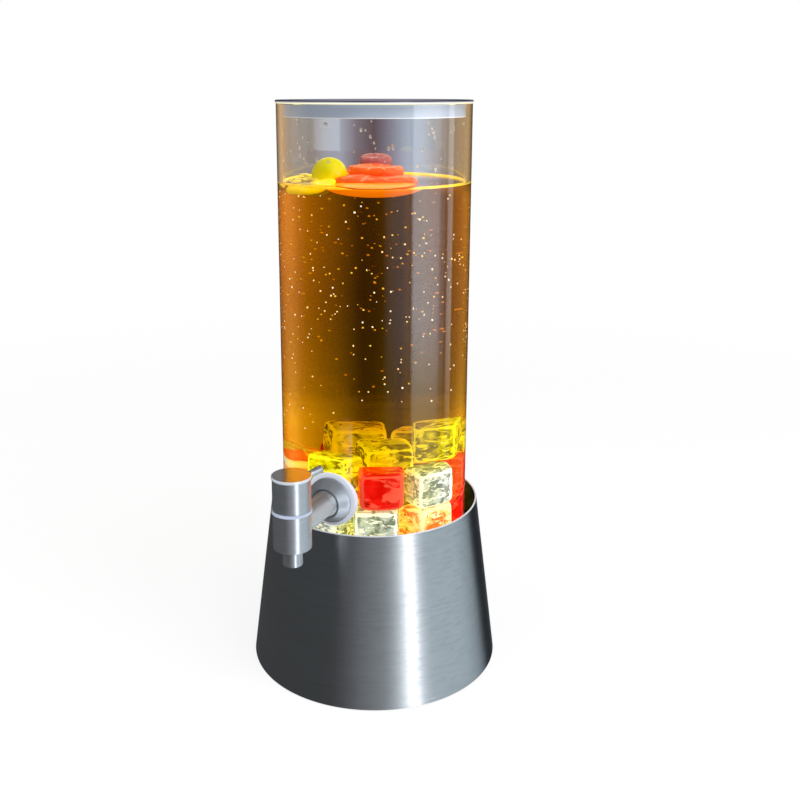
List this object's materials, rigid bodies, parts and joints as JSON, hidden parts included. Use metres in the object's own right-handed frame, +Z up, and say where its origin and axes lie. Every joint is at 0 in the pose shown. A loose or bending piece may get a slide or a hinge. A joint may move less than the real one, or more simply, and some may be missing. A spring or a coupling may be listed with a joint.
{
  "type": "beer tower dispenser",
  "caption": "Clear tube drink tower on a tapered brushed steel base, with a lift-off lid, a lever-turned tap on the side and a battery light under the tube.",
  "frame": {"origin": "on the tube's axis, in the plane that the foot ring stands on", "axes": "+Z up along the tube, the tap points along -Y, +X to the right of someone who faces the tap"},
  "size_m": [0.1492, 0.1839, 0.3351],
  "materials": {
    "shell_steel": "brushed round the cone",
    "tap_steel": "turned and polished",
    "clear_acrylic": "clear, polished",
    "zinc_steel": "zinc plated",
    "frame_plastic": "moulded, fine grain",
    "cover_plastic": "moulded, fine grain",
    "foot_rubber": "matt",
    "pale_silicone": "satin",
    "black_rubber": "satin",
    "core_brass": "turned",
    "circuit_board": "lacquered",
    "lamp_lens": "frosted",
    "button_plastic": "smooth",
    "cell_wrap": "shrink wrap, plain",
    "contact_metal": "nickel plated",
    "wire_cover": "smooth",
    "drink": "clear liquid",
    "lit_block": "clear, lit from inside",
    "fruit": "wet"
  },
  "bodies": {
    "base": {"base_shell": "shell_steel", "shell_tabs": "zinc_steel", "frame_screws": "zinc_steel", "foot_ring": "foot_rubber", "base_frame": "frame_plastic", "tube_seat_pad": "pale_silicone", "base_cover": "cover_plastic", "cover_screws": "zinc_steel", "battery_tray": "frame_plastic", "battery_contacts": "contact_metal", "batteries": "cell_wrap", "lead_wires": "wire_cover", "light_housing": "frame_plastic", "housing_screws": "zinc_steel", "led_board": "circuit_board", "leds": "lamp_lens", "light_lens": "lamp_lens", "switch_bezel": "cover_plastic", "switch_body": "cover_plastic", "switch_dome": "pale_silicone"},
    "button": {"switch_button": "button_plastic"},
    "cap": {"battery_cap": "cover_plastic"},
    "vessel": {"tube": "clear_acrylic", "tube_floor": "clear_acrylic", "outer_gasket": "pale_silicone", "inner_gasket": "pale_silicone", "shank_washer": "tap_steel", "shank_nut": "tap_steel", "tap_shank": "tap_steel", "tap_flange": "tap_steel", "shank_collar": "tap_steel", "tap_body": "tap_steel", "tap_spout": "tap_steel", "tap_seal_ring": "pale_silicone", "stop_screw": "zinc_steel"},
    "valve": {"valve_core": "core_brass", "core_o_rings": "black_rubber", "tap_knob": "tap_steel", "lever_pin": "tap_steel", "knob_screw": "zinc_steel"},
    "lid": {"lid_plate": "clear_acrylic", "lid_plug": "clear_acrylic"}
  },
  "joints": [
    {"name": "vessel_lift", "type": "slide", "parent": "base", "child": "vessel", "axis": [0, 0, 1], "range_m": [0, 0.12]},
    {"name": "lid_lift", "type": "slide", "parent": "vessel", "child": "lid", "axis": [0, 0, 1], "range_m": [0, 0.06]},
    {"name": "tap_turn", "type": "hinge", "parent": "vessel", "child": "valve", "pos_m": [0, -0.0987, 0.1175], "axis": [0, 0, -1], "range_deg": [0, 90]},
    {"name": "switch_press", "type": "slide", "parent": "base", "child": "button", "axis": [0, 0, 1], "range_m": [0, 0.0015], "stiffness_N_per_m": 300, "springref_m": -0.002, "deforming": ["switch_dome"]},
    {"name": "battery_cap_turn", "type": "hinge", "parent": "base", "child": "cap", "pos_m": [0, -0.014, 0.003], "axis": [0, 0, -1], "range_deg": [0, 40]}
  ]
}
